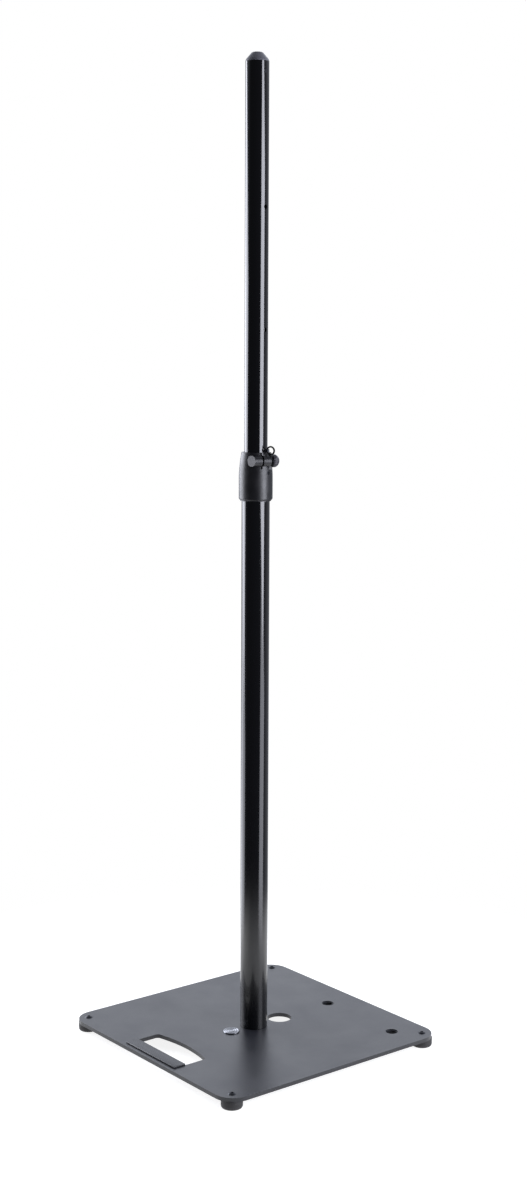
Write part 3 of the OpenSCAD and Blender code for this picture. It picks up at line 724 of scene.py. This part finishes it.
# %% Threads in the spare holes
def thread(x, y):
    """A ridge that climbs round a tapped hole, inside the plate's thickness."""
    bm = bmesh.new()
    turns, steps, pitch = 4.6, 220, 2.5
    start = nut_under + 0.9
    wedge = [bm.verts.new((x + r, y, start + z)) for r, z in
             ((9.95, -0.15), (8.8, 0.5), (8.8, 0.75), (9.95, 1.4))]
    face = bm.faces.new(wedge)
    bmesh.ops.spin(bm, geom=[face], cent=(x, y, 0), axis=(0, 0, 1),
                   dvec=(0, 0, pitch * turns / steps), angle=2 * math.pi * turns, steps=steps)
    bmesh.ops.remove_doubles(bm, verts=bm.verts, dist=1e-4)
    return make_piece("thread", bm, powder)


ridges = [thread(x, y) for x, y in tapped]
joined = bmesh.new()
for part in [plate] + ridges:
    joined.from_mesh(part.data)
joined.to_mesh(plate.data)
joined.free()
for ridge in ridges:
    bpy.data.objects.remove(ridge)
plate.data.shade_smooth()
plate.data.set_sharp_from_angle(angle=math.radians(32))
keep_flat(plate)
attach(plate, "base")
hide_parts("base_plate")
print("plate with threads:", len(plate.data.polygons), "faces")

# %% [markdown]
# ## Feet, screws and grip
# The rubber feet are turned discs with a well rounded lower edge and a slight moulding line near
# the top. The screws have a low dome head with a hexagon socket. All four of a kind share one
# outline, and a copy is moved under each corner.

# %% Rubber feet
foot_outline = [(8, 0), (12, 0), (13.5, 0.35), (14.8, 1.1), (15.6, 2.3), (15.95, 3.8), (16, 5.4),
                (16, 11.6), (15.7, 11.9), (15.7, 12.3), (16, 12.6), (16, 14), (3.2, 14),
                (3.2, 8.4), (8, 8.4)]
for corner in ("front_left", "front_right", "rear_right", "rear_left"):
    low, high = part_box("foot_" + corner)
    middle = (low + high) / 2
    foot = make_piece("rubber_foot_" + corner, turned(foot_outline, 72, 0.25, 2, closed=True),
                      rubber, Matrix.Translation((middle.x, middle.y, low.z)))
    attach(foot, "base")
    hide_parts("foot_" + corner)
print("feet at +-", round(foot_xy, 1), "mm")

# %% Foot screws
def dome(radius, rise, top, points=7):
    """Outline of a low dome from its middle to its rim, in mm."""
    ball = (radius ** 2 + rise ** 2) / (2 * rise)
    radii = [radius * math.sin(math.pi / 2 * i / points) for i in range(points + 1)]
    return [(r, top - ball + math.sqrt(ball ** 2 - r ** 2)) for r in radii]


screw_outline = dome(6.2, 2.4, deck + 2.4) + [(3.0, deck), (3.0, 2.2), (0, 2.2)]
one_screw = make_piece("dome_head_screws", turned(screw_outline, 64), black_oxide)
cut(one_screw, [round_bar(2.4, 3, Matrix.Translation((0, 0, (deck + 1.0) * MM)), 6)])
soften_piece(one_screw, 0.12, 2, 35)
four = bmesh.new()
for x in (-foot_xy, foot_xy):
    for y in (-foot_xy, foot_xy):
        copy = one_screw.data.copy()
        copy.transform(Matrix.Translation((x * MM, y * MM, 0)) @ Matrix.Rotation(x + 2 * y, 4, "Z"))
        four.from_mesh(copy)
four.to_mesh(one_screw.data)
four.free()
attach(one_screw, "base")
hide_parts("foot_screws")
print("screws:", len(one_screw.data.polygons), "faces")

# %% [markdown]
# The grip is a soft channel pushed over the slot's outer edge so that the steel doesn't cut the
# fingers. It has a broad band on top, a web through the slot and a short lip below. Each band is a
# block with all its edges rounded, and they join in one mesh.

# %% Grip strip
strip_low, strip_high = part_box("grip_strip")
length = strip_high.y / MM
bands = [((strip_low.x / MM, -length, deck), (slot_low + 2.5, length, deck + 2.5)),
         ((slot_low, -slot_half + 6.2, under - 1.5), (slot_low + 2.5, slot_half - 6.2, deck + 1.5)),
         ((slot_low - 10, -length, under - 2.5), (slot_low + 2.5, length, under))]
grip = make_piece("soft_grip_strip", bmesh.new(), grip_plastic)
gathered = bmesh.new()
for low, high in bands:
    bar = make_piece("bar", block(low, high, 0.8, 3), None)
    soften_piece(bar, 0.9, 3, 60)
    gathered.from_mesh(bar.data)
    bpy.data.objects.remove(bar)
gathered.to_mesh(grip.data)
gathered.free()
grip.data.shade_smooth()
grip.data.set_sharp_from_angle(angle=math.radians(40))
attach(grip, "base")
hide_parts("grip_strip")
print("grip length", round(2 * length, 1), "mm")

# %% [markdown]
# ## The badge
# A plain turned disc with a bevelled rim and three shallow ring grooves, which break up its shine.
# It carries no mark of any kind.

# %% Badge disc
face = disc_high.z / MM
foot_of_disc = disc_low.z / MM
badge_outline = [(0, foot_of_disc), (12.5, foot_of_disc), (12.5, face - 0.5), (11.9, face),
                 (10.6, face), (10.2, face - 0.5), (9.2, face - 0.5), (8.6, face - 0.05),
                 (7.4, face - 0.05), (6.8, face - 0.55), (5.9, face - 0.55), (5.2, face - 0.05),
                 (3.9, face - 0.05), (3.3, face - 0.5), (0, face - 0.3)]
badge = make_piece("plain_badge_disc", turned(badge_outline, 96, 0.1, 2), badge_metal,
                   Matrix.Translation((disc_middle.x, disc_middle.y, 0)))
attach(badge, "base")
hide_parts("badge_disc")
print("badge", round((disc_high.x - disc_low.x) / MM, 1), "mm wide")

# %% [markdown]
# ## The tubes
# A tube is a closed outline, inner wall and outer wall, spun once round. It needs many steps,
# because a glossy black cylinder shows every facet in its stripes. After the pin holes are cut,
# the normals of the round wall are set straight outwards, so the cuts don't disturb the shine.

# %% Round walls that stay smooth
def true_round(piece, around=Vector()):
    """Set the normals of faces on an upright round wall to point exactly out from, or in to, its axis."""
    mesh = piece.data
    normals = [Vector(n.vector) for n in mesh.corner_normals]
    for face in mesh.polygons:
        out = Vector((face.center.x - around.x, face.center.y - around.y, 0)).normalized()
        if abs(face.normal.z) < 0.02 and abs(face.normal.dot(out)) > 0.995:
            way = 1 if face.normal.dot(out) > 0 else -1
            for i in face.loop_indices:
                co = mesh.vertices[mesh.loops[i].vertex_index].co
                normals[i] = way * Vector((co.x - around.x, co.y - around.y, 0)).normalized()
    mesh.normals_split_custom_set(normals)


def tube_outline(inside, outside, low, high):
    return [(inside, low), (outside, low), (outside, high), (inside, high)]


# %% Lower tube
low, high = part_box("lower_tube")
lower_r = high.x / MM
lower_tube = make_piece("outer_pole_tube",
                        turned(tube_outline(lower_r - 2, lower_r, low.z / MM, high.z / MM), 192, 0.5,
                               3, closed=True), paint)
true_round(lower_tube)
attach(lower_tube, "base")
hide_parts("lower_tube")
print("outer tube radius", round(lower_r, 2), "mm")

# %% Upper tube with its pin holes
low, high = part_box("upper_tube")
upper_r = high.x / MM
upper_tube = make_piece("inner_pole_tube",
                        turned(tube_outline(upper_r - 1.5, upper_r, low.z / MM, high.z / MM), 192,
                               0.3, 2, closed=True), paint)
pin_z = joints["ring_swing"]["pos_m"][2] / MM
hole_pitch = joints["height_slide"]["range_m"][1] / MM
drills = []
for step in (-1, 0, 1, 2):
    start = Matrix.Translation((-30 * MM, 0, (pin_z + step * hole_pitch) * MM))
    drills.append(round_bar(3.4, 60, pin_frame @ start @ TO_X, 48))
rivet_low, rivet_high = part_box("cap_rivets")
rivet_z = (rivet_low.z + rivet_high.z) / 2
drills.append(round_bar(2.7, 60, pin_frame @ Matrix.Translation((-30 * MM, 0, rivet_z)) @ TO_X, 32))
cut(upper_tube, drills)
true_round(upper_tube)
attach(upper_tube, "mast")
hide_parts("upper_tube")
print("inner tube radius", round(upper_r, 2), "mm, holes every", round(hole_pitch, 1), "mm")

# %% [markdown]
# ## The top cap
# A moulded plug with a short rim on the tube's end and a blunt cone above it, which helps a
# loudspeaker's socket to find the pole.

# %% Top cap
low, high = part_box("top_cap")
top, seat = high.z / MM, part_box("upper_tube")[1].z / MM
cap_outline = [(0, low.z / MM), (15.9, low.z / MM), (15.9, seat), (17.4, seat), (17.4, seat + 0.7),
               (16.9, seat + 2.2), (15.9, seat + 3.7), (8.6, top - 1.0), (6.6, top), (0, top)]
cap = make_piece("tapered_top_cap", turned(cap_outline, 96, 0.4, 3), cap_plastic)
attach(cap, "mast")
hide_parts("top_cap")
print("cap height", round(top - seat, 1), "mm")

# %% [markdown]
# ## The clamp collar
# A thick moulded sleeve. It starts as a spun outline with a thin lip at its foot and a gentle
# taper to the top. Two ears for the bolt are joined on. The longer one ends in a slanting flat that
# covers the bolt's head, and beside the other a pocket makes room for the knob. The slit and the
# pin's flat are cut too, and the fresh edges get the small radius that every moulding has.

# %% Collar
low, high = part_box("collar_body")
base_z, rim_z = low.z / MM, high.z / MM
collar_r, rim_r = high.y / MM, 21.5
wall_top = base_z + 0.45 * (rim_z - base_z)
rise = rim_z - wall_top
taper = (rise ** 2 + (collar_r - rim_r) ** 2) / (2 * (collar_r - rim_r))
side_line = [(collar_r - taper + math.sqrt(taper ** 2 - (rise * i / 8) ** 2),
              wall_top + rise * i / 8) for i in range(9)]
step_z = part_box("lower_tube")[1].z / MM + 2
collar_outline = ([(lower_r + 0.05, base_z), (23.2, base_z), (23.2, base_z + 1.3),
                   (23.9, base_z + 1.5), (24.9, base_z + 2.3), (collar_r, base_z + 4)]
                  + side_line
                  + [(upper_r + 0.05, rim_z), (upper_r + 0.05, step_z), (lower_r + 0.05, step_z)])
collar = make_piece("clamp_collar", turned(collar_outline, 128, closed=True), nylon)
along_bolt = clamp_frame @ Matrix.Translation((bolt_x * MM, 0, bolt_z * MM)) @ TO_Y
ear = round_bar(8.2, 32, along_bolt @ Matrix.Translation((0, 0, -19 * MM)), 96)
web = square_bar((upper_r + 1, -19, bolt_z - 7), (bolt_x, 13, bolt_z + 7), clamp_frame)
cut(collar, [ear, web], "UNION")
bore = round_bar(upper_r + 0.05, 60, Matrix.Translation((0, 0, (step_z - 1) * MM)), 128)
sleeve = round_bar(lower_r + 0.05, step_z - base_z + 20,
                   Matrix.Translation((0, 0, (base_z - 20) * MM)), 128)
ear_tip = Matrix.Translation(((bolt_x + 8.2) * MM, -13 * MM, (bolt_z - 14) * MM))
ramp = square_bar((-18, -40, 0), (40, 0, 40),
                  clamp_frame @ ear_tip @ Matrix.Rotation(math.radians(21.6), 4, "Z"))
cuts = [bore, sleeve, ramp,
        round_bar(4.2, 26, along_bolt @ Matrix.Translation((0, 0, -12.8 * MM)), 32),
        square_bar((upper_r - 2, -1.3, bolt_z - 12), (60, 1.3, bolt_z + 30), clamp_frame)]
cuts.append(round_bar(10.2, 30, along_bolt @ Matrix.Translation((0, 0, 13 * MM)), 96))
cuts.append(square_bar((bolt_x - 9.8, 13, bolt_z - 14), (60, 43, bolt_z), clamp_frame))
cuts.append(square_bar((upper_r + 1.9, -7, rim_z - 3), (40, 7, rim_z + 9), pin_frame))
cut(collar, cuts)
print("collar faces:", len(collar.data.polygons))

# %% Collar edges and screw seats
screw_z = (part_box("collar_screws")[0].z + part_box("collar_screws")[1].z) / 2
seats = []
for turn in (0, math.pi):
    out = pin_frame @ Matrix.Rotation(turn, 4, "Z") @ Matrix.Translation((0, 0, screw_z)) @ TO_X
    seats.append(round_bar(3.0, 6, out @ Matrix.Translation((0, 0, (collar_r - 1.7) * MM)), 32))
cut(collar, seats)
soften_piece(collar, 0.45, 3, 32)
keep_flat(collar)
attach(collar, "base")
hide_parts("collar_body")
print("collar with soft edges:", len(collar.data.polygons), "faces")

# %% [markdown]
# ## The clamp's small parts
# The knob is a domed cap with twelve shallow flutes. A flute is made by pulling the knob's wall in
# where a wave round its axis is low.

# %% Clamp knob
knob_low, knob_high = reach("clamp_knob", bolt_at, bolt_way)
knob_r, rim = 9.6, 5.0
knob_h = knob_high - knob_low
knob_outline = ([(0, 7.0), (6.0, 7.0), (6.0, 0), (8.5, 0), (9.3, 0.3), (knob_r, 1.1),
                 (knob_r, rim - 1)] + dome(knob_r, knob_h - rim, knob_h, 9)[::-1])
knob_bm = turned(knob_outline, 144)
for v in knob_bm.verts:
    r = math.hypot(v.co.x, v.co.y)
    if r > 6.5 and v.co.z > 0.2:
        wave = 0.5 - 0.5 * math.cos(12 * math.atan2(v.co.y, v.co.x))
        fade = min(1, (v.co.z - 0.2) / 1.6) * min(1, (r - 6.5) / 2)
        pull = 1 - 0.045 * fade * wave ** 3
        v.co.x, v.co.y = v.co.x * pull, v.co.y * pull
knob_place = along_bolt @ Matrix.Translation((0, 0, knob_low * MM))
knob = make_piece("domed_clamp_knob", knob_bm, knob_nylon, knob_place)
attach(knob, "knob")
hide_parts("clamp_knob")
print("knob", round(2 * knob_r, 1), "mm wide,", round(knob_h, 1), "mm deep")

# %% [markdown]
# Two small screws hold the collar on the outer tube. Each has a countersunk head with a cross
# recess, which is two crossed bars cut into the face.

# %% Collar screws
screws = bmesh.new()
head_x = collar_r - 0.4
screw_out = [(0, head_x - 6), (1.5, head_x - 6), (1.5, head_x - 1.2), (2.7, head_x), (0, head_x)]
for turn in (0, math.pi):
    out = pin_frame @ Matrix.Rotation(turn, 4, "Z") @ Matrix.Translation((0, 0, screw_z)) @ TO_X
    screw = make_piece("screw", turned(screw_out, 40, 0.1, 2), None, out)
    recess = [square_bar((-1.3, -0.3, head_x - 0.7), (1.3, 0.3, head_x + 1), out),
              square_bar((-0.3, -1.3, head_x - 0.7), (0.3, 1.3, head_x + 1), out)]
    cut(screw, recess)
    screws.from_mesh(screw.data)
    bpy.data.objects.remove(screw)
collar_screws = make_piece("cross_recess_collar_screws", bmesh.new(), black_oxide)
screws.to_mesh(collar_screws.data)
screws.free()
collar_screws.data.materials.append(black_oxide)
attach(collar_screws, "base")
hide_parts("collar_screws")
print("collar screws:", len(collar_screws.data.polygons), "faces")

# %% [markdown]
# ## The pin's ring and its cord
# The ring is a split ring: a flat wire wound nearly twice round, made by spinning a small rounded
# section while it steps sideways. It hangs in the pin's eye and turns about it.

# %% Split ring
eye = Vector(joints["ring_swing"]["pos_m"])
ring_low, ring_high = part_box("pin_ring")
ring_middle = (ring_low + ring_high) / 2
ring_out = Vector((ring_middle.x - eye.x, ring_middle.y - eye.y, 0))
ring_r = ring_out.length / MM
ring_frame = frame_along(ring_out, ring_middle) @ Matrix.Rotation(math.radians(90), 4, "X")
ring_bm = bmesh.new()
turns, steps, coil = 1.85, 160, 1.0
section = bmesh.ops.create_circle(ring_bm, cap_ends=True, segments=14, radius=0.5)
start = (Matrix.Translation((ring_r, 0, -0.5 * coil * turns / 2)) @ Matrix.Diagonal((2.4, 1, 1.0, 1))
         @ Matrix.Rotation(math.radians(90), 4, "X"))
bmesh.ops.transform(ring_bm, matrix=start, verts=ring_bm.verts)
bmesh.ops.rotate(ring_bm, verts=ring_bm.verts, cent=(0, 0, 0),
                 matrix=Matrix.Rotation(math.radians(200), 3, "Z"))
bmesh.ops.spin(ring_bm, geom=ring_bm.faces[:], cent=(0, 0, 0), axis=(0, 0, 1),
               dvec=(0, 0, coil * turns / steps), angle=2 * math.pi * turns, steps=steps)
bmesh.ops.remove_doubles(ring_bm, verts=ring_bm.verts, dist=1e-4)
ring = make_piece("split_ring", ring_bm, wire, ring_frame)
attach(ring, "ring")
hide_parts("pin_ring")
print("ring radius", round(ring_r, 2), "mm")

# %% [markdown]
# The cord is one short length of limp braid: up one side of the bolt's neck, through the ring, and
# down the other side. Its ends meet under the neck in a small crimped ferrule. The tube is built
# ring by ring along the route, and its UV map runs round and along the cord for the braid.

# %% Route of the cord
cord_r, bend = 0.9, 5.1
loop_low, loop_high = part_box("tether_loop")
loop_middle = (loop_low + loop_high) / 2
loop_y = (loop_middle - bolt_at).dot(bolt_way) / MM
top_centre = loop_high.z / MM - cord_r - bend
gap = math.radians(15)
route = []
for i in range(9):
    a = -math.pi / 2 + gap + (math.pi / 2 - gap) * i / 8
    route.append((bend * math.cos(a), bolt_z + bend * math.sin(a)))
route += [(bend, bolt_z + (top_centre - bolt_z) * f) for f in (0.33, 0.66)]
for i in range(13):
    a = math.pi * i / 12
    route.append((bend * math.cos(a), top_centre + bend * math.sin(a)))
route += [(-bend, bolt_z + (top_centre - bolt_z) * f) for f in (0.66, 0.33)]
for i in range(9):
    a = math.pi + (math.pi / 2 - gap) * i / 8
    route.append((bend * math.cos(a), bolt_z + bend * math.sin(a)))
route = [clamp_frame @ Vector(((bolt_x + x) * MM, loop_y * MM, z * MM)) for x, z in route]

# %% Cord tube with its braid map
cord_bm = bmesh.new()
around_layer = cord_bm.verts.layers.float.new("around")
along_layer = cord_bm.verts.layers.float.new("along")
sides, travelled, previous = 12, 0.0, None
for i, point in enumerate(route):
    ahead_way = (route[min(i + 1, len(route) - 1)] - route[max(i - 1, 0)]).normalized()
    travelled += (point - route[i - 1]).length if i else 0
    across = bolt_way.cross(ahead_way).normalized()
    spot = Matrix((across, bolt_way, across.cross(bolt_way))).transposed().to_4x4()
    spot.translation = point
    made = bmesh.ops.create_circle(cord_bm, cap_ends=i in (0, len(route) - 1), segments=sides,
                                   radius=cord_r * MM, matrix=spot)
    hoop = [v for v in made["verts"]]
    for v in hoop:
        local = spot.inverted() @ v.co
        v[around_layer] = (math.atan2(local.y, local.x) / (2 * math.pi)) % 1.0
        v[along_layer] = travelled / (2 * math.pi * cord_r * MM)
    edges = [e for e in cord_bm.edges if e.verts[0] in hoop and e.verts[1] in hoop]
    if previous:
        bmesh.ops.bridge_loops(cord_bm, edges=previous + edges)
    previous = edges
uv = cord_bm.loops.layers.uv.new("UVMap")
for face in cord_bm.faces:
    turns_here = [loop.vert[around_layer] for loop in face.loops]
    wraps = max(turns_here) - min(turns_here) > 0.5
    for loop in face.loops:
        u = loop.vert[around_layer]
        u = u + 1 if wraps and u < 0.5 else u
        loop[uv].uv = (u * 4, loop.vert[along_layer] * 4)
bmesh.ops.recalc_face_normals(cord_bm, faces=cord_bm.faces)
cord_mesh = bpy.data.meshes.new("braided_tether")
cord_bm.to_mesh(cord_mesh)
cord_bm.free()
cord_mesh.shade_smooth()
tether = bpy.data.objects.new("braided_tether", cord_mesh)
bpy.context.scene.collection.objects.link(tether)
cord_mesh.materials.append(braid)
print("cord faces:", len(cord_mesh.polygons))

# %% Ferrule, and the cord's mesh set in place
ferrule_half = bend * math.sin(gap) + 0.7
ferrule_bm = turned([(0, -ferrule_half), (1.35, -ferrule_half), (1.35, -0.5), (1.2, 0), (1.35, 0.5),
                     (1.35, ferrule_half), (0, ferrule_half)], 32, 0.2, 2)
below = clamp_frame @ Matrix.Translation((bolt_x * MM, loop_y * MM, (bolt_z - bend + 0.1) * MM))
ferrule = make_piece("tether_ferrule", ferrule_bm, black_oxide, below @ TO_X)
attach(ferrule, "base")
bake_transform(tether)
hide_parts("tether_loop")

# %% [markdown]
# ## Parts whose exact shape is already right
# Washers, nuts, plugs and the like keep their exact meshes and only get their finish. Their meshes
# carry normals of their own, so nothing about them is changed but the material.

# %% Finish the remaining parts
finishes = {
    "foot_washers": zinc, "foot_nuts": zinc, "badge_pad": foam, "pole_plug": zinc,
    "base_stud": zinc, "collar_liner": ivory_nylon, "knob_washer": black_oxide, "knob_insert": brass,
    "safety_pin": pin_steel, "clamp_bolt": black_oxide, "tube_end_plug": nylon,
    "glide_ring": ivory_nylon,
    "glide_clip": zinc, "cap_rivets": black_oxide,
}
for name, finish in finishes.items():
    for holder in nodes[name].material_slots:
        holder.material = finish
shown = sorted(n for n, o in nodes.items() if not o.hide_render)
print("exact parts shown:", shown)
print("without a finish:", sorted(set(shown) - set(finishes)))
